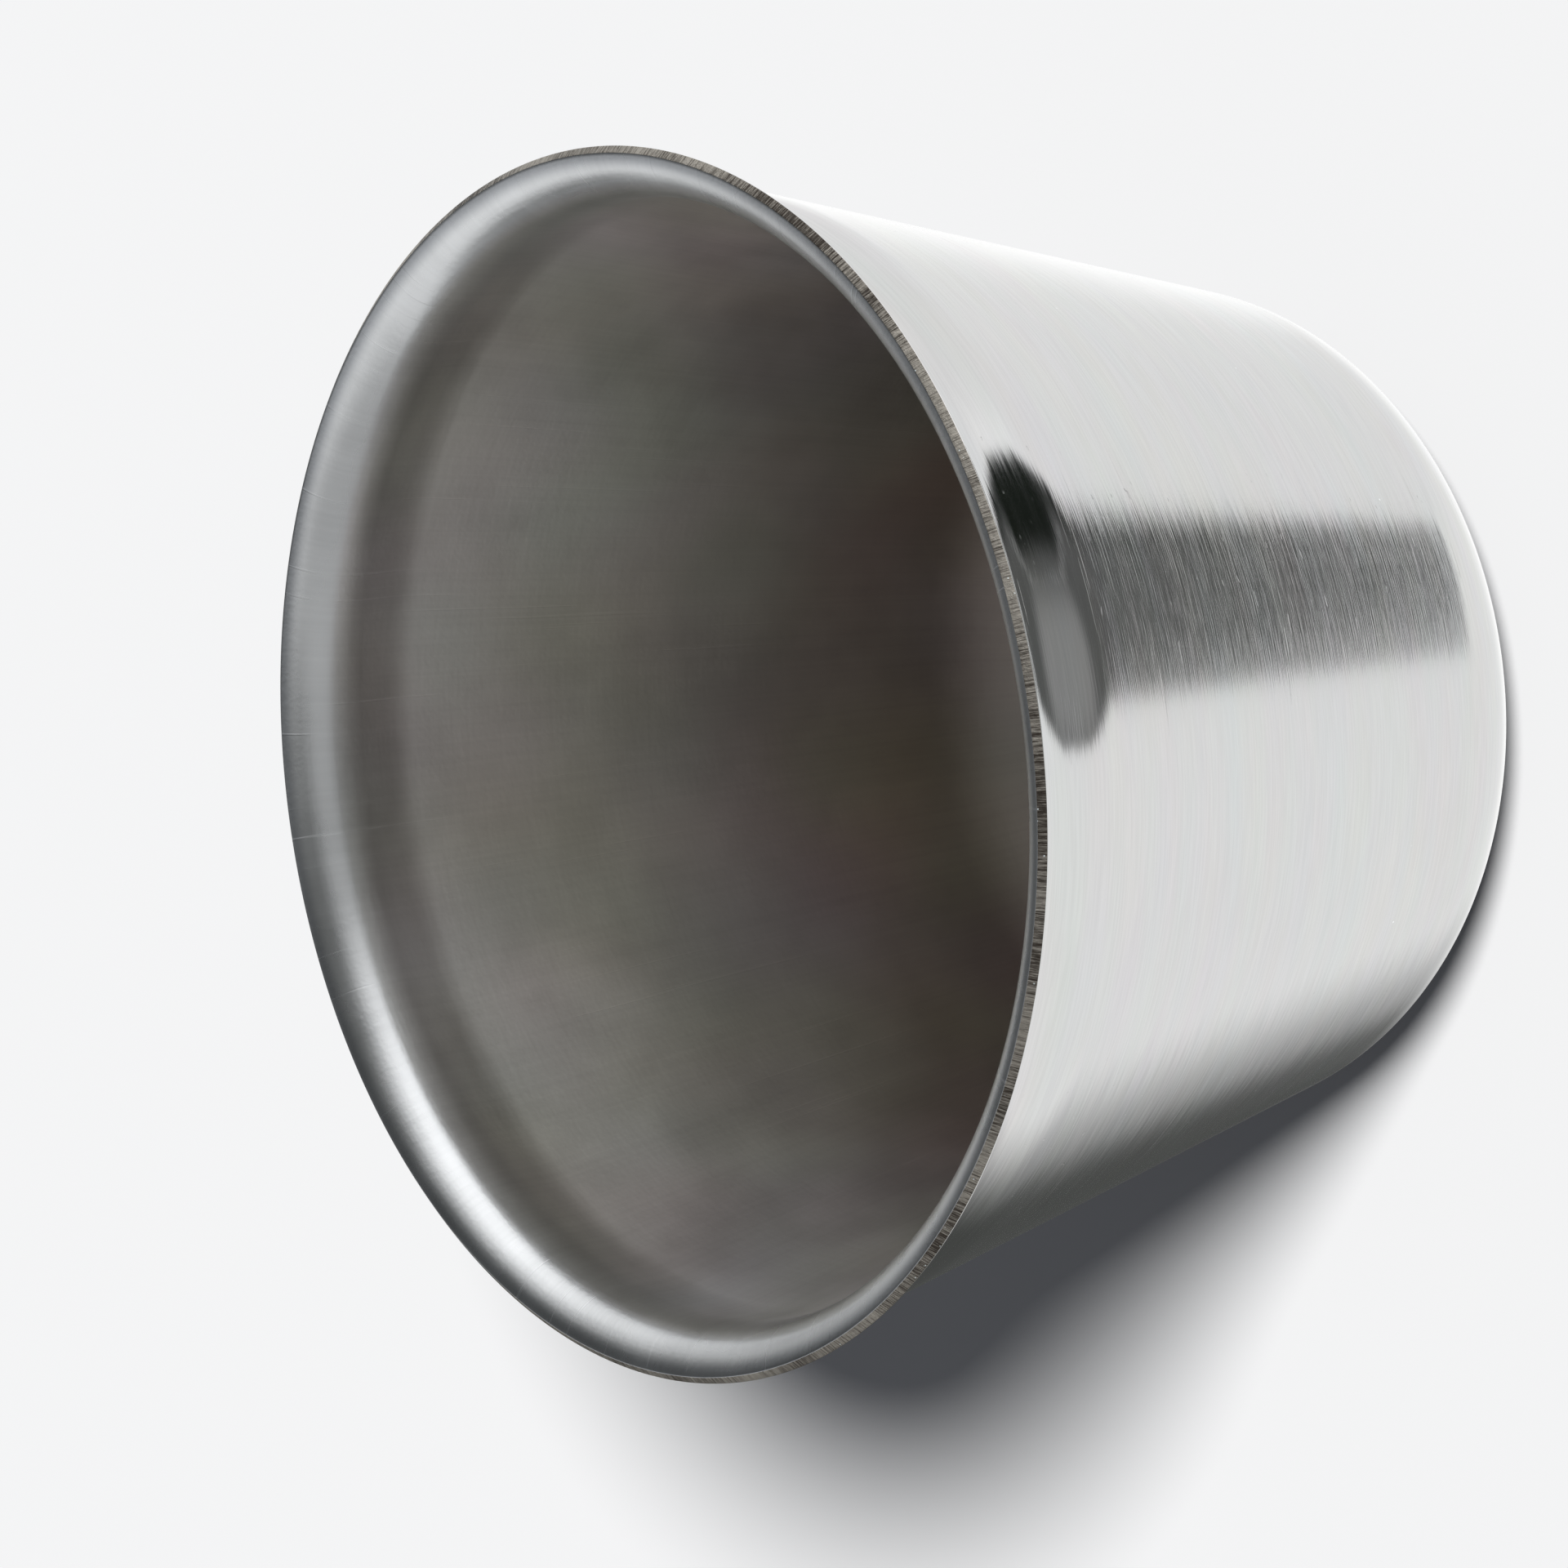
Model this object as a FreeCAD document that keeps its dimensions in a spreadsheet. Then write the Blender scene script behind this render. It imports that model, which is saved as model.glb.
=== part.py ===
"""Deep drawn metal cup: one drawn sheet, turned about the upright Z axis.

The half section below is the whole part: flat foot, round heel, drafted wall, a short
straight collar, a trumpet flare and the slanting cut that trimmed the lip. Both skins of
the sheet are drawn, and each inner arc shares its centre with the outer one, so the
sheet keeps one thickness all the way. The cup stands on its foot, mouth up, with the
origin at the middle of the foot. All sizes are in millimetres and degrees.
"""
import FreeCAD, Part
import math
import os

import Sketcher

SIZES = [
    # alias, value, what it is
    ("cut_diameter", 80.24, "diameter at the outer corner of the cut, before it is eased"),
    ("cup_height", 57.6, "from the underside of the foot to the crest of the lip"),
    ("sheet", 0.6, "thickness of the drawn sheet"),
    ("wall_draft", 12.7, "slope of the wall from upright, degrees"),
    ("heel_radius", 12.5, "outer radius between foot and wall"),
    ("shoulder_radius", 10.0, "outer radius where the wall turns upright into the collar"),
    ("collar_height", 2.1, "length of the straight collar under the flare"),
    ("root_radius", 7.3, "outer radius at the root of the flare"),
    ("root_angle", 15.0, "turn made by the root of the flare, degrees"),
    ("lip_radius", 2.9, "outer radius of the rolled lip"),
    ("lip_angle", 80.0, "slope of the sheet at the lip's end from upright, degrees"),
    ("trim_overhang", 0.46, "how far the lower skin runs past the upper one at the cut"),
    ("edge_break", 0.1, "radius on both corners of the cut edge"),
]

doc = FreeCAD.newDocument("deep_drawn_cup")

# ---------------------------------------------------------------- sizes
sheet = doc.addObject("Spreadsheet::Sheet", "sizes")
for row, (alias, value, note) in enumerate(SIZES, start=1):
    sheet.set("A%d" % row, alias)
    sheet.set("B%d" % row, str(value))
    sheet.set("C%d" % row, note)
    sheet.setAlias("B%d" % row, alias)
doc.recompute()


def size(alias):
    return float(sheet.get(alias))


# ---------------------------------------------------------------- first guess of the section
draft = math.radians(size("wall_draft"))
turn = math.radians(size("root_angle"))
slope = math.radians(size("lip_angle"))
thick = size("sheet")
heel, shoulder = size("heel_radius"), size("shoulder_radius")
root, lip = size("root_radius"), size("lip_radius")
over = size("trim_overhang")

lip_x = size("cut_diameter") / 2 - over * math.sin(slope) + lip * math.cos(slope)
lip_z = size("cup_height") - (lip + thick) * math.sin(slope)
root_x = lip_x + (root - lip) * math.cos(turn)
root_z = lip_z - (root - lip) * math.sin(turn)
neck = root_x - root
shoulder_x, shoulder_z = neck - shoulder, root_z - size("collar_height")
heel_z = heel
run = (shoulder_z - heel_z) * math.tan(draft) - (shoulder - heel) / math.cos(draft)
heel_x = shoulder_x - run


def at(x, z, radius=0.0, angle=0.0):
    """Point at an angle on a circle about x, z in the sketch's plane."""
    return FreeCAD.Vector(x + radius * math.cos(angle), z + radius * math.sin(angle), 0)


def arc(x, z, radius, start, end):
    circle = Part.Circle(FreeCAD.Vector(x, z, 0), FreeCAD.Vector(0, 0, 1), radius)
    return Part.ArcOfCircle(circle, start, end)


def line(a, b):
    return Part.LineSegment(a, b)


# ---------------------------------------------------------------- body and section sketch
body = doc.addObject("PartDesign::Body", "cup_body")
section = body.newObject("Sketcher::SketchObject", "half_section")
for feature in body.Origin.OriginFeatures:
    if feature.Role == "XZ_Plane":
        section.AttachmentSupport = [(feature, "")]
section.MapMode = "FlatFace"

half, flat = math.pi, -math.pi / 2
lip_end = half - slope
root_end = half - turn
parts = {
    # outer skin, from the middle of the foot up to the cut
    "foot_out": line(at(0, 0), at(heel_x, 0)),
    "heel_out": arc(heel_x, heel_z, heel, flat, -draft),
    "wall_out": line(at(heel_x, heel_z, heel, -draft),
                     at(shoulder_x, shoulder_z, shoulder, -draft)),
    "shoulder_out": arc(shoulder_x, shoulder_z, shoulder, -draft, 0),
    "collar_out": line(at(neck, shoulder_z), at(neck, root_z)),
    "root_out": arc(root_x, root_z, root, root_end, half),
    "lip_out": arc(lip_x, lip_z, lip, lip_end, root_end),
    "overhang": line(at(lip_x, lip_z, lip, lip_end),
                     at(lip_x + over * math.sin(slope), lip_z + over * math.cos(slope),
                        lip, lip_end)),
    "cut": line(at(lip_x + over * math.sin(slope), lip_z + over * math.cos(slope),
                   lip, lip_end),
                at(lip_x, lip_z, lip + thick, lip_end)),
    # inner skin, from the cut back down to the middle of the floor
    "lip_in": arc(lip_x, lip_z, lip + thick, lip_end, root_end),
    "root_in": arc(root_x, root_z, root + thick, root_end, half),
    "collar_in": line(at(neck - thick, root_z), at(neck - thick, shoulder_z)),
    "shoulder_in": arc(shoulder_x, shoulder_z, shoulder - thick, -draft, 0),
    "wall_in": line(at(shoulder_x, shoulder_z, shoulder - thick, -draft),
                    at(heel_x, heel_z, heel - thick, -draft)),
    "heel_in": arc(heel_x, heel_z, heel - thick, flat, -draft),
    "floor_in": line(at(heel_x, thick), at(0, thick)),
    "axis": line(at(0, thick), at(0, 0)),
}
number = {name: section.addGeometry(shape, False) for name, shape in parts.items()}
# a sketch numbers the points of an edge upwards and its own axes downwards
START, END, CENTRE = (1 + place for place, _ in enumerate(("start", "end", "centre")))
X_AXIS, Y_AXIS = (-1 - place for place, _ in enumerate("xy"))
ORIGIN = (X_AXIS, START)


def tie(kind, a, a_end, b, b_end):
    section.addConstraint(Sketcher.Constraint(kind, number[a], a_end, number[b], b_end))


def fix(name, expression, *args):
    index = section.addConstraint(Sketcher.Constraint(*args))
    section.renameConstraint(index, name)
    section.setExpression("Constraints." + name, expression)


# smooth joints of the outer skin
tie("Tangent", "foot_out", END, "heel_out", START)
tie("Tangent", "heel_out", END, "wall_out", START)
tie("Tangent", "wall_out", END, "shoulder_out", START)
tie("Tangent", "shoulder_out", END, "collar_out", START)
tie("Tangent", "collar_out", END, "root_out", END)
tie("Tangent", "root_out", START, "lip_out", END)
tie("Tangent", "lip_out", START, "overhang", START)
# the cut
tie("Coincident", "overhang", END, "cut", START)
tie("Coincident", "cut", END, "lip_in", START)
# smooth joints of the inner skin
tie("Tangent", "lip_in", END, "root_in", START)
tie("Tangent", "root_in", END, "collar_in", START)
tie("Tangent", "collar_in", END, "shoulder_in", END)
tie("Tangent", "shoulder_in", START, "wall_in", START)
tie("Tangent", "wall_in", END, "heel_in", END)
tie("Tangent", "heel_in", START, "floor_in", START)
tie("Coincident", "floor_in", END, "axis", START)
tie("Coincident", "axis", END, "foot_out", START)
# both skins turn about the same centres
for bend in ("heel", "shoulder", "root", "lip"):
    tie("Coincident", bend + "_in", CENTRE, bend + "_out", CENTRE)
# the section stands on the origin and on the axis
section.addConstraint(Sketcher.Constraint("Coincident", number["foot_out"], START, *ORIGIN))
section.addConstraint(Sketcher.Constraint("PointOnObject", number["floor_in"], END, Y_AXIS))
section.addConstraint(Sketcher.Constraint("Horizontal", number["foot_out"]))
section.addConstraint(Sketcher.Constraint("Horizontal", number["floor_in"]))
section.addConstraint(Sketcher.Constraint("Vertical", number["collar_out"]))

# sizes of the section
fix("cut_reach", "sizes.cut_diameter / 2", "DistanceX", *ORIGIN, number["cut"], START,
    size("cut_diameter") / 2)
fix("crest_height", "sizes.cup_height", "DistanceY", *ORIGIN, number["cut"], END,
    size("cup_height"))
fix("draft", "(90 - sizes.wall_draft) * 1 deg", "Angle", number["wall_out"],
    math.pi / 2 - draft)
fix("collar", "sizes.collar_height", "Distance", number["collar_out"], size("collar_height"))
fix("overhang_length", "sizes.trim_overhang", "Distance", number["overhang"], over)
fix("heel_outside", "sizes.heel_radius", "Radius", number["heel_out"], heel)
fix("heel_inside", "sizes.heel_radius - sizes.sheet", "Radius", number["heel_in"],
    heel - thick)
fix("shoulder_outside", "sizes.shoulder_radius", "Radius", number["shoulder_out"], shoulder)
fix("shoulder_inside", "sizes.shoulder_radius - sizes.sheet", "Radius",
    number["shoulder_in"], shoulder - thick)
fix("root_outside", "sizes.root_radius", "Radius", number["root_out"], root)
fix("root_turn", "sizes.root_angle * 1 deg", "Angle", number["root_out"], turn)
fix("lip_outside", "sizes.lip_radius", "Radius", number["lip_out"], lip)
fix("lip_inside", "sizes.lip_radius + sizes.sheet", "Radius", number["lip_in"], lip + thick)
fix("lip_turn_outside", "(sizes.lip_angle - sizes.root_angle) * 1 deg", "Angle",
    number["lip_out"], slope - turn)
fix("lip_turn_inside", "(sizes.lip_angle - sizes.root_angle) * 1 deg", "Angle",
    number["lip_in"], slope - turn)
doc.recompute()

# ---------------------------------------------------------------- the turned cup
cup = body.newObject("PartDesign::Revolution", "drawn_sheet")
cup.Profile = section
cup.ReferenceAxis = (section, ["V_Axis"])
cup.Angle = 360
doc.recompute()

# the two corners of the cut: the widest ring and the highest ring
rings = [(i, e) for i, e in enumerate(cup.Shape.Edges, start=1)
         if isinstance(e.Curve, Part.Circle)]
widest = max(rings, key=lambda ring: ring[1].Curve.Radius)[0]
highest = max(rings, key=lambda ring: ring[1].Curve.Center.z)[0]
dull = body.newObject("PartDesign::Fillet", "cut_edge_break")
dull.Base = (cup, ["Edge%d" % widest, "Edge%d" % highest])
dull.setExpression("Radius", "sizes.edge_break")
doc.recompute()

# ---------------------------------------------------------------- check and write
for item in doc.Objects:
    if "Invalid" in item.State or "Error" in item.State:
        raise RuntimeError("%s did not build: %s" % (item.Name, item.State))
if section.solve() != 0 or body.Shape.isNull() or not body.Shape.isValid():
    raise RuntimeError("the cup is not a sound solid")
if len(body.Shape.Solids) != 1:
    raise RuntimeError("the cup is not one solid")

os.makedirs("parts", exist_ok=True)
body.Label = "cup"
body.Shape.exportStep("parts/cup.step")
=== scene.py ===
"""Finish and setting of a deep drawn metal cup.

The cup is one drawn sheet. Its half section is traced with straight runs and arcs, and is
spun once round the upright axis. The finishes are brushed steel outside, a softer satin on
the lip, a matte drawn surface inside and a torn, stained cut along the lip's edge.
"""

import math

import bpy
from mathutils import Matrix, Vector


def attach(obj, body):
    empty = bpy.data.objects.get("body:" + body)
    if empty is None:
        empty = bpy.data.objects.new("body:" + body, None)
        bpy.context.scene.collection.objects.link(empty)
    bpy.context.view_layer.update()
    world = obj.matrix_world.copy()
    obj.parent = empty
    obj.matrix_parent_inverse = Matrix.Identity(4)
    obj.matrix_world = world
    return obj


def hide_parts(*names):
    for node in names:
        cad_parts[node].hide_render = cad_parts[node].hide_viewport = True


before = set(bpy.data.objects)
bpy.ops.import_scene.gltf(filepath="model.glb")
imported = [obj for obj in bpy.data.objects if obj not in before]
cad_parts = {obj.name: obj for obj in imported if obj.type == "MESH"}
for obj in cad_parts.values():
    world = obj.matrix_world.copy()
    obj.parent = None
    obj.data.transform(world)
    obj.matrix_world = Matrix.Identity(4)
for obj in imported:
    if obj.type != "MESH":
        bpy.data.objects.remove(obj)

bl_info = {
    "name": "Deep drawn cup",
    "version": (1, 0, 0),
    "blender": (4, 5, 0),
    "location": "3D View > Sidebar > Drawn Cup",
    "description": "Models and finishes a deep drawn metal cup",
    "category": "Object",
}

MM = 0.001


# ---------------------------------------------------------------- properties
def length(name, description, millimetres):
    return bpy.props.FloatProperty(
        name=name, description=description, default=millimetres * MM,
        unit="LENGTH", precision=5)


def angle(name, description, degrees):
    return bpy.props.FloatProperty(
        name=name, description=description, default=math.radians(degrees),
        subtype="ANGLE")


def tint(name, description, colour):
    return bpy.props.FloatVectorProperty(
        name=name, description=description, default=colour, size=3,
        subtype="COLOR", min=0, max=1)


class CupSizes(bpy.types.PropertyGroup):
    """Sizes of the drawn cup"""

    cut_radius: length("Cut radius", "Radius at the sharp outer corner of the cut", 40.12)
    height: length("Height", "From the foot to the crest of the lip", 57.6)
    sheet: length("Sheet", "Thickness of the drawn sheet", 0.6)
    draft: angle("Draft", "Slope of the wall from upright", 12.7)
    heel_radius: length("Heel radius", "Outer radius between foot and wall", 12.5)
    shoulder_radius: length("Shoulder radius", "Outer radius from wall to collar", 10.0)
    collar_height: length("Collar height", "Length of the straight collar", 2.1)
    root_radius: length("Root radius", "Outer radius at the root of the flare", 7.3)
    root_angle: angle("Root angle", "Turn made by the root of the flare", 15)
    lip_radius: length("Lip radius", "Outer radius of the rolled lip", 2.9)
    lip_angle: angle("Lip angle", "Slope of the sheet at the lip's end", 80)
    overhang: length("Overhang", "How far the cut runs out on the lower skin", 0.46)
    edge_break: length("Edge break", "Radius on both corners of the cut", 0.1)
    facets: bpy.props.IntProperty(
        name="Facets", description="Facets round the cup", default=320, min=32)


class CupFinish(bpy.types.PropertyGroup):
    """Colours of the finishes"""

    steel: tint("Steel", "Bare steel of the brushed outside", (0.66, 0.662, 0.66))
    lip: tint("Lip", "Satin steel of the rolled lip", (0.66, 0.672, 0.685))
    inside: tint("Inside", "Drawn, unpolished steel", (0.70, 0.68, 0.655))
    # painted shade: the darker colour the inside is given deep in the cup
    deep_shade: tint("Painted shade", "Drawn steel deep in the cup", (0.36, 0.315, 0.29))
    # a darker bluish colour for a band along the edge of the lip
    edge_band: tint("Edge band", "Darker line along the edge of the lip", (0.20, 0.215, 0.24))
    cut: tint("Cut", "Torn metal of the cut", (0.40, 0.375, 0.335))
    soot: tint("Soot", "Dirt in the hollows of the cut", (0.06, 0.05, 0.042))


class CupStage(bpy.types.PropertyGroup):
    """Camera and light"""

    heading: angle("Heading", "Turn of the camera round the upright axis", 0.334)
    tip: angle("Tip", "Slope of the camera's line of sight from straight down", 51.626)
    roll: angle("Roll", "Roll of the camera: the cup lies on its side in the frame", -97.445)
    distance: length("Distance", "From the camera to the middle of the mouth", 480)
    rise: angle("Rise", "Height of the camera as seen from the mouth", 37.3)
    mouth: length("Mouth", "Height of the mouth above the floor", 57.1)
    lens: bpy.props.FloatProperty(
        name="Lens", description="Focal length", default=171.03, unit="CAMERA")
    light_heading: angle("Light heading", "Compass direction of the key light", -70.8)
    light_rise: angle("Light rise", "Height of the key light", 45.1)
    light_spread: angle("Light spread", "Apparent width of the key light", 15)
    light_strength: bpy.props.FloatProperty(
        name="Light strength", description="Strength of the key light", default=4.1, min=0)


# ---------------------------------------------------------------- the cup
# steps along each stretch of the section
FLAT_STEPS, HEEL_STEPS, WALL_STEPS, SHOULDER_STEPS = 8, 36, 26, 8
COLLAR_STEPS, ROOT_STEPS, LIP_STEPS = 3, 8, 26
CUT_STEPS, OUTER_BREAK_STEPS, INNER_BREAK_STEPS = 3, 5, 2
WELD = 0.002 * MM
SMOOTH_ANGLE = math.radians(35)


class Section:
    """Centres and ends of the half section, in its own plane: radius, then height."""

    def __init__(self, sizes):
        s = sizes
        slope, turn, draft = s.lip_angle, s.root_angle, s.draft
        self.lip = Vector((
            s.cut_radius - s.overhang * math.sin(slope) + s.lip_radius * math.cos(slope),
            s.height - (s.lip_radius + s.sheet) * math.sin(slope)))
        step = s.root_radius - s.lip_radius
        self.root = self.lip + step * Vector((math.cos(turn), -math.sin(turn)))
        self.collar = self.root.x - s.root_radius
        self.shoulder = Vector((
            self.collar - s.shoulder_radius, self.root.y - s.collar_height))
        rise = self.shoulder.y - s.heel_radius
        shift = (s.shoulder_radius - s.heel_radius) / math.cos(draft)
        self.heel = Vector((
            self.shoulder.x - rise * math.tan(draft) + shift, s.heel_radius))


def start_wire(name, radius, height):
    """A new piece in edit mode with one vertex, selected."""
    bpy.ops.mesh.primitive_plane_add(size=MM, location=(radius, 0, height))
    piece = bpy.context.object
    piece.name = piece.data.name = name
    bpy.ops.object.transform_apply(location=True, rotation=False, scale=False)
    bpy.ops.object.mode_set(mode="EDIT")
    bpy.context.tool_settings.mesh_select_mode = (True, False, False)
    bpy.ops.mesh.select_all(action="SELECT")
    bpy.ops.mesh.merge(type="CENTER")
    return piece


def run_to(start, end, steps):
    """Carries the selected end of the wire along a straight run."""
    step = (end - start) / steps
    for _ in range(steps):
        bpy.ops.mesh.extrude_region_move(
            TRANSFORM_OT_translate={"value": (step.x, 0, step.y)})
    return end


def bend(start, centre, turn, steps):
    """Carries the selected end of the wire round a centre, anticlockwise if positive."""
    bpy.ops.mesh.spin(
        steps=steps, angle=turn, center=(centre.x, 0, centre.y), axis=(0, 1, 0))
    arm = start - centre
    arm.rotate(Matrix.Rotation(turn, 2))
    return centre + arm


def trace_section(sizes):
    """Traces the closed section, up the outer skin and back down the inner one."""
    s, at = sizes, Section(sizes)
    draft, slope, turn = s.draft, s.lip_angle, s.root_angle
    upright = math.pi / 2
    lip_run = Vector((math.sin(slope), math.cos(slope)))
    lip_face = Vector((-math.cos(slope), math.sin(slope)))
    wall_face = Vector((math.cos(draft), -math.sin(draft)))

    # outer skin
    end = run_to(Vector((0, 0)), Vector((at.heel.x, 0)), FLAT_STEPS)
    end = bend(end, at.heel, upright - draft, HEEL_STEPS)
    end = run_to(end, at.shoulder + s.shoulder_radius * wall_face, WALL_STEPS)
    end = bend(end, at.shoulder, draft, SHOULDER_STEPS)
    end = run_to(end, Vector((at.collar, at.root.y)), COLLAR_STEPS)
    end = bend(end, at.root, -turn, ROOT_STEPS)
    end = bend(end, at.lip, turn - slope, LIP_STEPS)

    # the cut, with both of its corners eased
    sharp = math.atan2(s.sheet, s.overhang)
    corner = end + s.overhang * lip_run
    crest = at.lip + (s.lip_radius + s.sheet) * lip_face
    back = (crest - corner).normalized()
    end = run_to(end, corner - s.edge_break / math.tan(sharp / 2) * lip_run, 1)
    end = bend(end, end + s.edge_break * lip_face, math.pi - sharp, OUTER_BREAK_STEPS)
    end = run_to(end, crest - s.edge_break * math.tan(sharp / 2) * back, CUT_STEPS)
    cut_face = Vector((-back.y, back.x))
    end = bend(end, end + s.edge_break * cut_face, sharp, INNER_BREAK_STEPS)

    # inner skin
    eased = math.atan(s.edge_break * math.tan(sharp / 2) / (s.lip_radius + s.sheet))
    end = bend(end, at.lip, slope - turn - eased, LIP_STEPS)
    end = bend(end, at.root, turn, ROOT_STEPS)
    end = run_to(end, Vector((at.collar - s.sheet, at.shoulder.y)), COLLAR_STEPS)
    end = bend(end, at.shoulder, -draft, SHOULDER_STEPS)
    end = run_to(end, at.heel + (s.heel_radius - s.sheet) * wall_face, WALL_STEPS)
    end = bend(end, at.heel, draft - upright, HEEL_STEPS)
    run_to(end, Vector((0, s.sheet)), FLAT_STEPS)


# ---------------------------------------------------------------- finishes
# heights over which a finish changes, each from where the change starts
NECK = 46.5 * MM, 51.5 * MM
LIP = 51.5 * MM, 56.0 * MM
SATIN = 51.2 * MM, 56.6 * MM
# painted shade: the inside darkens from 46 mm down to 6 mm and eases to about half on the
# floor of the cup
SHADE_HEIGHTS = 46.0 * MM, 6.0 * MM
CUP_FLOOR = 0.6 * MM, 3.0 * MM
# radii between which a darker bluish band comes up along the lip's edge
EDGE_BAND_RADII = 38.3 * MM, 39.3 * MM
# the finishes' slots, and how far a face leans out and up where it is part of the cut
OUTSIDE, INSIDE, CUT = range(3)
CUT_LEAN = 0.2


class Web:
    """Short hand for wiring one node tree."""

    def __init__(self, tree):
        self.tree = tree
        tree.nodes.clear()

    def add(self, kind, inputs=(), **settings):
        node = self.tree.nodes.new(kind)
        for key, value in settings.items():
            setattr(node, key, value)
        for key, value in dict(inputs).items():
            self.feed(node.inputs[key], value)
        return node

    def feed(self, socket, value):
        if isinstance(value, bpy.types.NodeSocket):
            self.tree.links.new(value, socket)
        else:
            socket.default_value = value

    def math(self, operation, a, b=0.0):
        return self.add("ShaderNodeMath", {0: a, 1: b}, operation=operation).outputs[0]

    def swing(self, noise, amount):
        """A noise made to swing about zero, by half the amount either way."""
        return self.math("MULTIPLY", self.math("SUBTRACT", noise, 0.5), amount)

    def vector(self, operation, a, b=(0, 0, 0)):
        node = self.add("ShaderNodeVectorMath", {0: a, 1: b}, operation=operation)
        return node.outputs["Value" if operation in ("DOT_PRODUCT", "LENGTH") else "Vector"]

    def scale(self, vector, amount):
        node = self.add(
            "ShaderNodeVectorMath", {0: vector, "Scale": amount}, operation="SCALE")
        return node.outputs["Vector"]

    def smooth(self, value, low, high, out_low=0.0, out_high=1.0):
        return self.add(
            "ShaderNodeMapRange",
            {"Value": value, "From Min": low, "From Max": high,
             "To Min": out_low, "To Max": out_high},
            interpolation_type="SMOOTHSTEP").outputs["Result"]

    def mix(self, share, a, b):
        node = self.add("ShaderNodeMix", data_type="RGBA", clamp_factor=True)
        for key, value in ((0, share), (6, a), (7, b)):
            self.feed(node.inputs[key], value)
        return node.outputs[2]

    def bump(self, height, strength, distance, **more):
        return self.add("ShaderNodeBump", {
            "Height": height, "Strength": strength, "Distance": distance, **more}).outputs[0]

    def metal(self, colour, roughness, normal, **more):
        """Closes a material as bare metal."""
        shader = self.add("ShaderNodeBsdfPrincipled", {
            "Base Color": colour, "Metallic": 1.0, "Roughness": roughness,
            "Normal": normal, **more})
        self.add("ShaderNodeOutputMaterial", {"Surface": shader.outputs[0]})


def new_material(name):
    material = bpy.data.materials.new(name)
    material.use_nodes = True
    return material, Web(material.node_tree)


class Round:
    """Places on a surface of revolution: height, radius and heading round the axis."""

    def __init__(self, web):
        self.web = web
        self.place = web.add("ShaderNodeTexCoord").outputs["Object"]
        split = web.add("ShaderNodeSeparateXYZ", {"Vector": self.place})
        flat = web.add("ShaderNodeCombineXYZ", {
            "X": split.outputs["X"], "Y": split.outputs["Y"]})
        heading = web.vector("NORMALIZE", flat.outputs[0])
        turned = web.add("ShaderNodeSeparateXYZ", {"Vector": heading})
        self.height = split.outputs["Z"]
        self.heading = turned.outputs["X"], turned.outputs["Y"]
        self.radius = web.vector("LENGTH", flat.outputs[0])
        self.reach = web.math("ADD", self.height, self.radius)
        self.tangent = web.vector("CROSS_PRODUCT", (0, 0, 1), heading)

    def zone(self, heights, low=0.0, high=1.0):
        """A value that eases from low to high over two heights."""
        return self.web.smooth(self.height, *heights, low, high)

    def marks(self, around, across):
        """Coordinates for marks that are slow round the cup and quick across, or the
        other way about."""
        return self.web.add("ShaderNodeCombineXYZ", {
            "X": self.web.math("MULTIPLY", self.heading[0], around),
            "Y": self.web.math("MULTIPLY", self.heading[1], around),
            "Z": self.web.math("MULTIPLY", self.reach, across)}).outputs[0]


def noise(web, vector, scale=1.0, detail=2.0, roughness=0.5, output="Fac"):
    return web.add("ShaderNodeTexNoise", {
        "Vector": vector, "Scale": scale, "Detail": detail,
        "Roughness": roughness}).outputs[output]


def specks(web, place, scale, size):
    """A mask of small round specks, one in about twenty cells of the scale."""
    cells = web.add("ShaderNodeTexVoronoi", {"Vector": place, "Scale": scale})
    chance = web.add("ShaderNodeSeparateColor", {"Color": cells.outputs["Color"]})
    near = web.smooth(cells.outputs["Distance"], size, size * 0.4)
    return web.math("MULTIPLY", near, web.smooth(chance.outputs[0], 0.93, 0.96))


def brushed_outside(finish):
    """Steel brushed round the cup: fine lines, streaks that tip the shine, scratches."""
    material, web = new_material("brushed_outside")
    cup = Round(web)
    fine = noise(web, cup.marks(6, 9000), 1, 2, 0.6)
    streaks = noise(web, cup.marks(7, 5200), 1, 1, 0.6)
    broad = noise(web, cup.marks(2.5, 420), 1, 1, 0.5, "Color")

    # each brush mark tips the surface a little round the cup, less on the neck
    tip = web.swing(streaks, cup.zone(NECK, 0.052, 0.022))
    normal = web.add("ShaderNodeNewGeometry").outputs["Normal"]
    tipped = web.vector("NORMALIZE", web.vector("ADD", normal, web.scale(cup.tangent, tip)))

    hairs = web.smooth(noise(web, cup.marks(3, 5200), 1, 1), 0.73, 0.79)
    stray = web.add("ShaderNodeMapping", {
        "Vector": cup.place, "Rotation": (0.5, 0.3, 0.9), "Scale": (40, 2600, 2600)})
    hairs = web.math("MAXIMUM", hairs, web.smooth(
        noise(web, stray.outputs[0], 1, 1), 0.745, 0.78))
    dots = specks(web, cup.place, 620, 0.07)
    relief = web.math("ADD", fine, web.math("MULTIPLY", hairs, -0.8))
    bump = web.bump(relief, 0.10, 0.05 * MM, Normal=tipped)

    # the neck is left smoother than the wall
    rough = web.math("ADD", cup.zone(NECK, 0.12, 0.08), web.swing(streaks, 0.08))
    rough = web.math("ADD", rough, web.math("MULTIPLY", hairs, 0.08))
    shade = web.smooth(streaks, 0.25, 0.75, 0.985, 1.045)
    film = web.mix(0.06, (1, 1, 1, 1), broad)
    colour = web.vector("MULTIPLY", film, tuple(c * 1.03 for c in finish.steel))
    colour = web.mix(dots, web.scale(colour, shade), (0.95, 0.97, 0.98, 1))
    web.metal(colour, rough, bump, Anisotropic=0.5, Tangent=cup.tangent)
    return material


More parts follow.
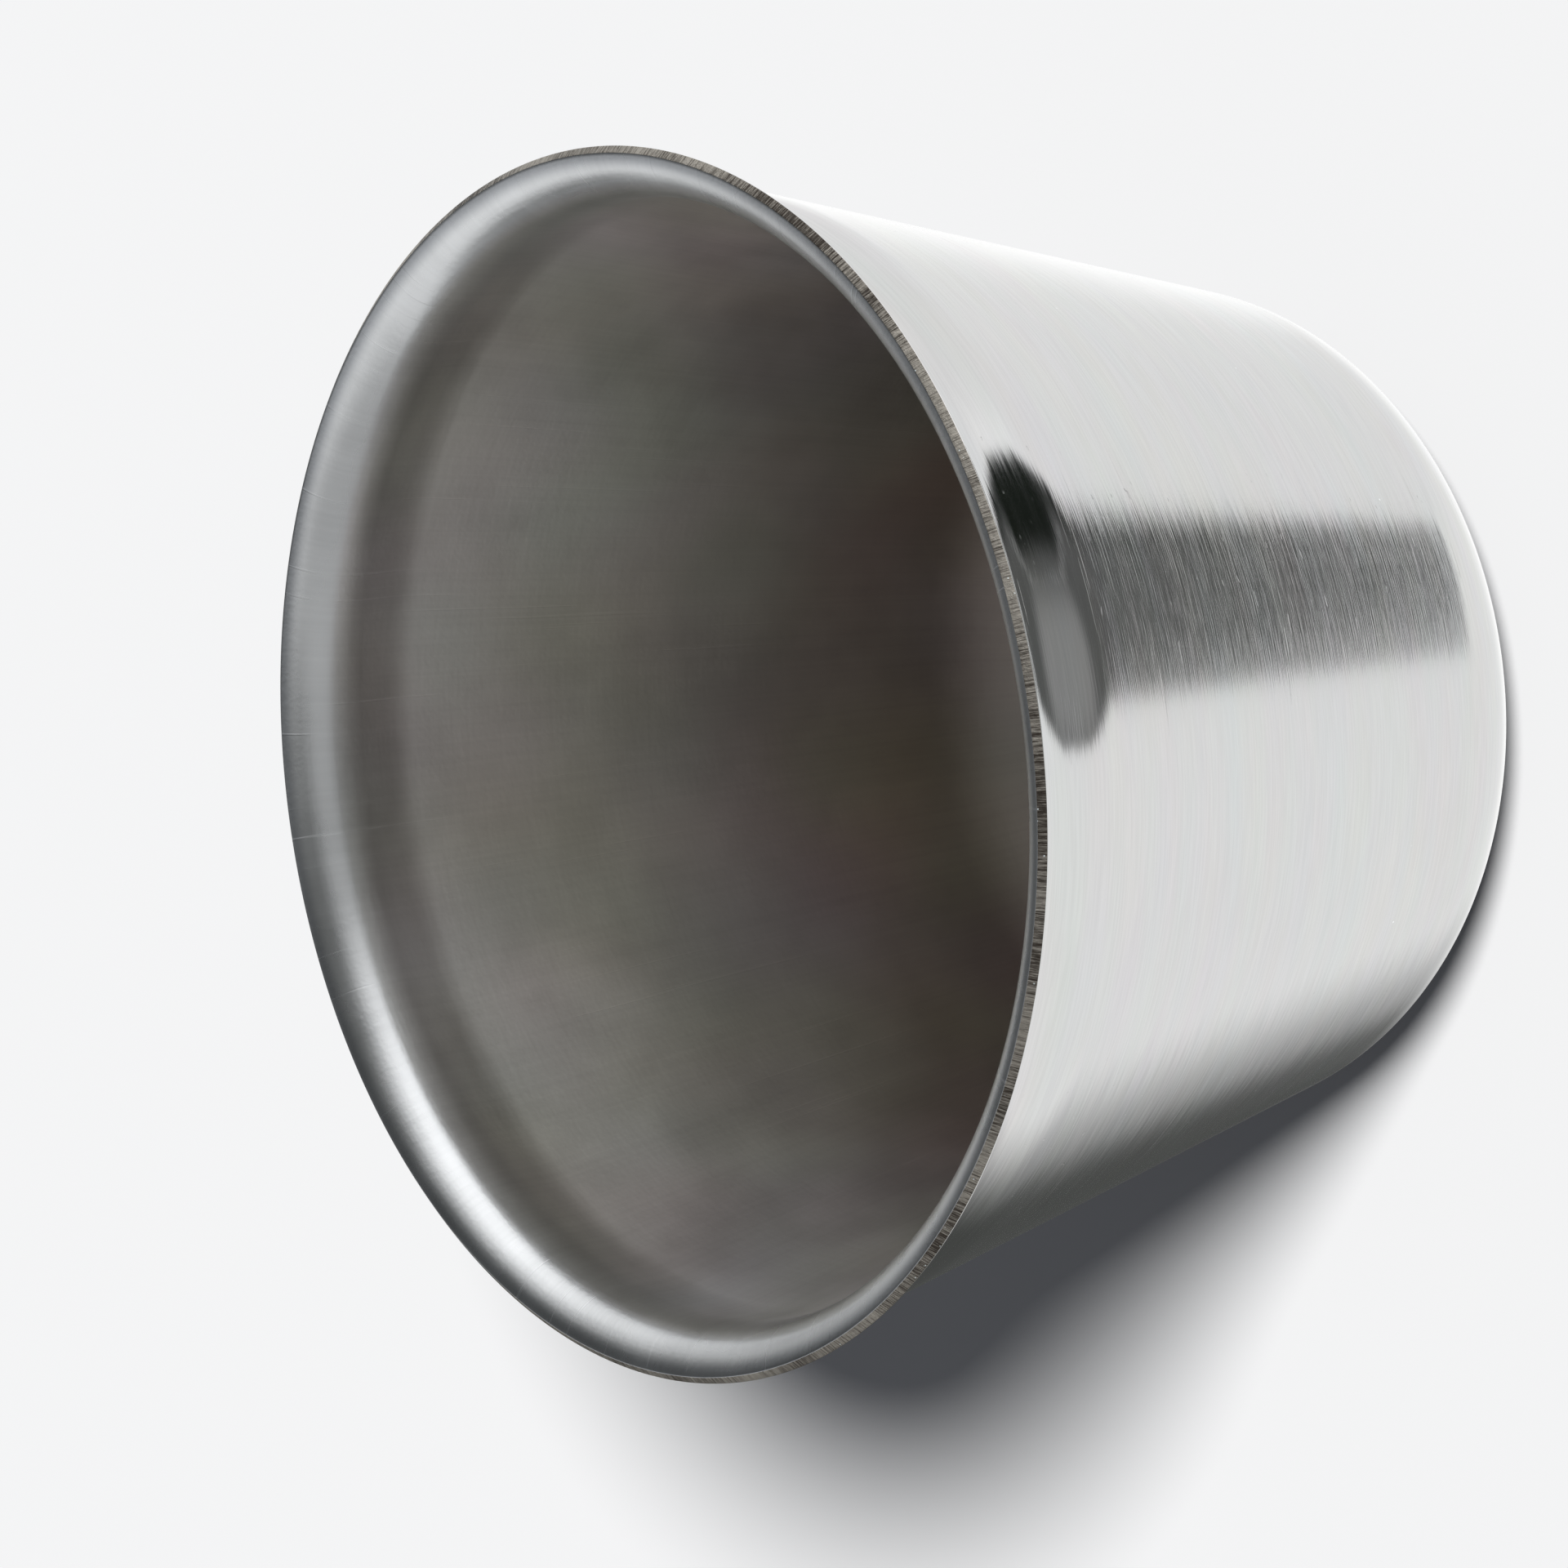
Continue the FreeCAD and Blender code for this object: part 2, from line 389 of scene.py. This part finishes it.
def drawn_inside(finish):
    """Matte drawn steel with painted shade darkening it towards the floor of the cup, satin
    on the lip.
    """
    material, web = new_material("drawn_inside")
    cup = Round(web)
    clouds = noise(web, cup.place, 95, 3, 0.6)
    grain = noise(web, cup.place, 2400, 1, 0.6)
    pulled = noise(web, cup.marks(90, 25), 1, 2, 0.6)
    rings = noise(web, cup.marks(5, 1500), 1, 1, 0.6)

    # painted shade: the inside darkens towards the floor of the cup, a little less on the
    # floor itself
    deep = web.math("MULTIPLY", cup.zone(SHADE_HEIGHTS), cup.zone(CUP_FLOOR, 0.55, 1.0))
    colour = web.mix(deep, (*finish.inside, 1), (*finish.deep_shade, 1))
    colour = web.mix(0.12, colour, noise(web, cup.place, 60, 1, 0.5, "Color"))
    colour = web.mix(cup.zone(LIP), colour, (*finish.lip, 1))
    # a darker bluish band along the lip's edge
    edge_band = web.math("MULTIPLY", web.smooth(cup.radius, *EDGE_BAND_RADII), 0.65)
    colour = web.mix(edge_band, colour, (*finish.edge_band, 1))
    shade = web.math(
        "ADD", web.smooth(clouds, 0.25, 0.75, 0.90, 1.08), web.swing(pulled, 0.12))

    scratches = web.smooth(pulled, 0.66, 0.74)
    matte = web.math("ADD", cup.zone(SATIN, 0.50, 0.27), web.swing(clouds, 0.16))
    matte = web.math("ADD", matte, web.math("MULTIPLY", scratches, 0.06))
    relief = web.math("SUBTRACT", web.math("ADD", grain, rings), scratches)
    web.metal(web.scale(colour, shade), matte, web.bump(relief, 0.12, 0.06 * MM))
    return material


def torn_cut(finish):
    """The raw cut: torn, pitted and dirty, with bright grains."""
    material, web = new_material("torn_cut")
    cup = Round(web)
    torn = noise(web, cup.marks(420, 9000), 1, 3, 0.75)
    pits = noise(web, cup.place, 3800, 2, 0.6)
    dirt = noise(web, cup.marks(3, 60), 1, 3, 0.6)
    hollow = web.smooth(web.math("ADD", torn, dirt), 1.12, 0.80)
    colour = web.mix(hollow, (*finish.cut, 1), (*finish.soot, 1))
    colour = web.mix(specks(web, cup.place, 4200, 0.28), colour, (0.85, 0.93, 0.95, 1))
    rough = web.smooth(torn, 0.3, 0.7, 0.55, 0.35)
    web.metal(colour, rough, web.bump(web.math("ADD", torn, pits), 0.7, 0.1 * MM))
    return material


class CUP_OT_draw_sheet(bpy.types.Operator):
    """Model the drawn sheet: trace its section and spin it round the upright axis"""

    bl_idname = "drawn_cup.draw_sheet"
    bl_label = "Draw the Sheet"

    def execute(self, context):
        sizes = context.scene.drawn_cup
        bpy.ops.object.select_all(action="DESELECT")
        piece = start_wire("drawn_sheet", 0, 0)
        trace_section(sizes)
        bpy.ops.mesh.select_all(action="SELECT")
        bpy.ops.mesh.spin(
            steps=sizes.facets, angle=2 * math.pi, center=(0, 0, 0), axis=(0, 0, 1))
        bpy.ops.mesh.select_all(action="SELECT")
        bpy.ops.mesh.remove_doubles(threshold=WELD)
        bpy.ops.mesh.normals_make_consistent(inside=False)
        bpy.ops.object.mode_set(mode="OBJECT")
        bpy.ops.object.shade_smooth_by_angle(angle=SMOOTH_ANGLE)
        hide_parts("cup")
        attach(piece, "root")
        return {"FINISHED"}


class CUP_OT_finish_sheet(bpy.types.Operator):
    """Give the outside, the inside and the cut their finishes"""

    bl_idname = "drawn_cup.finish_sheet"
    bl_label = "Finish the Sheet"

    def execute(self, context):
        finish = context.scene.drawn_cup_finish
        piece = bpy.data.objects["drawn_sheet"]
        for dress in (brushed_outside, drawn_inside, torn_cut):
            piece.data.materials.append(dress(finish))
        for face in piece.data.polygons:
            outwards = face.normal.dot(Vector((face.center.x, face.center.y, 0)).normalized())
            upwards = face.normal.z
            if min(outwards, upwards) > CUT_LEAN:
                face.material_index = CUT
            elif outwards > upwards:
                face.material_index = OUTSIDE
            else:
                face.material_index = INSIDE
        return {"FINISHED"}


# ---------------------------------------------------------------- the stage
PAPER = (0.905, 0.905, 0.905)
SKY = (0.078, 0.081, 0.089)
FLOOR_SIZE = 6


def camera_rotation(stage):
    return (Matrix.Rotation(stage.heading, 3, "Z") @ Matrix.Rotation(stage.tip, 3, "X")
            @ Matrix.Rotation(stage.roll, 3, "Z"))


class Studio:
    """Light that reaches the cup, by direction: side 0 is straight behind the cup and
    height 0 is level, both in degrees and both as the camera is turned."""

    def __init__(self, web, turn):
        self.web = web
        self.view = web.add("ShaderNodeTexCoord").outputs["Generated"]
        right, up, back = (
            web.vector("DOT_PRODUCT", self.view, tuple(turn.col[i])) for i in range(3))
        away = web.math("MULTIPLY", back, -1.0)
        self.side = web.math("MULTIPLY", web.math("ARCTAN2", right, away), math.degrees(1))
        self.height = web.math("MULTIPLY", web.math("ARCSINE", up), math.degrees(1))
        self.turn = turn

    def ramp(self, value, low, high):
        return self.web.smooth(value, low, high)

    def off(self, side):
        """Angle to a side, whichever way round."""
        return self.web.math("ABSOLUTE", self.web.math("SUBTRACT", self.side, side))

    def both(self, *masks):
        product = masks[0]
        for mask in masks[1:]:
            product = self.web.math("MULTIPLY", product, mask)
        return product

    def slanted(self, value, other, slope, origin):
        """value - slope * (other - origin)"""
        shift = self.web.math("MULTIPLY", self.web.math("SUBTRACT", other, origin), slope)
        return self.web.math("SUBTRACT", value, shift)

    def lobe(self, side, height, inner, outer):
        """A round patch of light: full within the inner angle, gone at the outer one."""
        a, b = math.radians(side), math.radians(height)
        aim = self.turn @ Vector((
            math.sin(a) * math.cos(b), math.sin(b), -math.cos(a) * math.cos(b)))
        spread = self.web.vector("DOT_PRODUCT", self.view, tuple(aim))
        return self.ramp(spread, math.cos(math.radians(outer)), math.cos(math.radians(inner)))

    def band(self, value, low, high, soft):
        return self.both(
            self.ramp(value, low - soft / 2, low + soft / 2),
            self.ramp(value, high + soft / 2, high - soft / 2))

    def blend(self, share, a, b):
        """a where the share is 0, b where it is 1: plain numbers or sockets."""
        node = self.web.add("ShaderNodeMix", data_type="FLOAT", clamp_factor=True)
        for key, value in ((0, share), (2, a), (3, b)):
            self.web.feed(node.inputs[key], value)
        return node.outputs[0]


def studio_light(web, turn):
    """Brightness of the studio for each direction."""
    s = Studio(web, turn)

    # the table, less lit on the viewer's side, and the room above it
    table = s.blend(s.ramp(s.off(0), 80, 150), 1.0, 0.50)
    room = s.blend(s.ramp(s.off(-20), 120, 165), 0.12, 0.42)
    light = s.blend(s.ramp(s.height, -26, -4), table, room)

    # the backdrop behind the cup and round to the right, brightest straight behind
    backdrop = s.both(s.band(s.side, -32, 112, 10), s.ramp(s.height, -40, -28))
    light = s.blend(backdrop, light, 1.0)
    light = s.blend(s.lobe(8, 8, 5, 26), light, 1.15)
    left = s.both(s.band(s.side, -68, -30, 20), s.band(s.height, 3, 55, 10))
    light = s.blend(left, light, 0.50)

    # the panel overhead, which fades towards its lower edge
    panel = s.blend(s.ramp(s.off(10), 50, 120), 0.95, 1.55)
    light = s.blend(s.ramp(s.height, 13, 57), light, panel)

    # the dark gap between the panel and the table, on the right
    past_corner = web.math("MAXIMUM", web.math("SUBTRACT", s.side, 62), 0)
    top = web.math("ADD", web.math("MULTIPLY", past_corner, 0.72),
                   web.smooth(s.side, 63, 70, 23.5, 28.5))
    top = web.math("MINIMUM", top, 46)
    under_top = web.math("SUBTRACT", s.height, top)
    gap = s.both(
        s.ramp(s.slanted(s.side, s.height, -0.54, 25), 63.5, 65.5),
        s.ramp(under_top, 2.5, -1.0),
        s.ramp(s.slanted(s.height, s.side, -0.26, 75), 7.0, 9.5),
        s.ramp(s.slanted(s.side, s.height, 0.25, 0), 108, 101))
    depth = s.blend(s.ramp(under_top, -10, -4), 0.115, 0.03)
    depth = s.blend(s.lobe(101, 14, 2, 16), depth, 0.30)
    depth = s.blend(s.lobe(91, 39, 5, 11), depth, 0.012)
    cord = s.band(s.slanted(s.height, s.side, -0.32, 80), 31.4, 32.6, 0.6)
    depth = s.blend(s.both(cord, s.band(s.side, 80, 97, 2)), depth, 0.3)
    light = s.blend(gap, light, depth)

    # the cup's own shadow on the table: wide and low, narrower where it nears the cup
    for shade in ((-4, -43, 20, 46), (2, -29, 14, 25), (1, -13, 7, 15), (-15, -10, 6, 24)):
        light = s.blend(s.lobe(*shade), light, 0.075)
    return light


def studio_world(scene, turn):
    """The metal sees the studio, the floor sees a faint bluish sky and the camera sees
    plain pale paper."""
    world = bpy.data.worlds.new("studio")
    world.use_nodes = True
    web = Web(world.node_tree)
    light = studio_light(web, turn)
    path = web.add("ShaderNodeLightPath")
    # a trace of green, which only the dark gap shows
    green = web.math("ADD", light, 0.003)
    seen = web.add("ShaderNodeCombineColor", {"Red": light, "Green": green, "Blue": light})
    from_floor = web.math("MINIMUM", path.outputs["Diffuse Depth"], 1.0)
    seen = web.mix(from_floor, seen.outputs[0], (*SKY, 1))
    seen = web.mix(path.outputs["Is Camera Ray"], seen, (*PAPER, 1))
    background = web.add("ShaderNodeBackground", {"Color": seen, "Strength": 1.0})
    web.add("ShaderNodeOutputWorld", {"Surface": background.outputs[0]})
    world.cycles.sampling_method = "NONE"
    scene.world = world


def floor_material():
    material, web = new_material("floor")
    paper = web.add("ShaderNodeBsdfDiffuse", {"Color": (*PAPER, 1)})
    clear = web.add("ShaderNodeBsdfTransparent")
    path = web.add("ShaderNodeLightPath")
    both = web.add("ShaderNodeMixShader", {
        0: path.outputs["Is Glossy Ray"], 1: paper.outputs[0], 2: clear.outputs[0]})
    web.add("ShaderNodeOutputMaterial", {"Surface": both.outputs[0]})
    return material


class CUP_OT_set_stage(bpy.types.Operator):
    """Set the floor, the studio light and the camera"""

    bl_idname = "drawn_cup.set_stage"
    bl_label = "Set the Stage"

    def execute(self, context):
        scene, stage = context.scene, context.scene.drawn_cup_stage
        scene.view_settings.view_transform = "Standard"
        bpy.ops.object.select_all(action="DESELECT")
        bpy.ops.mesh.primitive_plane_add(size=FLOOR_SIZE)
        floor = context.object
        floor.name = "floor"
        floor.data.materials.append(floor_material())
        turn = camera_rotation(stage)
        studio_world(scene, turn)

        bpy.ops.object.light_add(type="SUN", location=(0, 0, 1), rotation=(
            0, math.pi / 2 - stage.light_rise, stage.light_heading))
        key = context.object
        key.name = key.data.name = "key"
        key.data.angle = stage.light_spread
        key.data.energy = stage.light_strength
        key.visible_glossy = False

        bpy.ops.object.camera_add(
            location=(0, -stage.distance * math.cos(stage.rise),
                      stage.mouth + stage.distance * math.sin(stage.rise)),
            rotation=turn.to_euler())
        camera = context.object
        camera.name = camera.data.name = "view"
        camera.data.sensor_width = 36
        camera.data.lens = stage.lens
        scene.camera = camera
        return {"FINISHED"}


class CUP_PT_steps(bpy.types.Panel):
    """Sizes, finishes and steps of the drawn cup"""

    bl_idname = "CUP_PT_steps"
    bl_label = "Drawn Cup"
    bl_space_type = "VIEW_3D"
    bl_region_type = "UI"
    bl_category = "Drawn Cup"

    def draw(self, context):
        scene = context.scene
        for group, step in ((scene.drawn_cup, CUP_OT_draw_sheet),
                            (scene.drawn_cup_finish, CUP_OT_finish_sheet),
                            (scene.drawn_cup_stage, CUP_OT_set_stage)):
            box = self.layout.box()
            for name in type(group).__annotations__:
                box.prop(group, name)
            box.operator(step.bl_idname)


CLASSES = (CupSizes, CupFinish, CupStage, CUP_OT_draw_sheet, CUP_OT_finish_sheet,
           CUP_OT_set_stage, CUP_PT_steps)
GROUPS = {"drawn_cup": CupSizes, "drawn_cup_finish": CupFinish, "drawn_cup_stage": CupStage}


def register():
    for item in CLASSES:
        bpy.utils.register_class(item)
    for name, group in GROUPS.items():
        setattr(bpy.types.Scene, name, bpy.props.PointerProperty(type=group))


def unregister():
    for name in GROUPS:
        delattr(bpy.types.Scene, name)
    for item in reversed(CLASSES):
        bpy.utils.unregister_class(item)


def main():
    register()
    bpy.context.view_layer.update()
    bpy.ops.drawn_cup.draw_sheet()
    bpy.ops.drawn_cup.finish_sheet()
    bpy.ops.drawn_cup.set_stage()


if __name__ == "__main__":
    main()
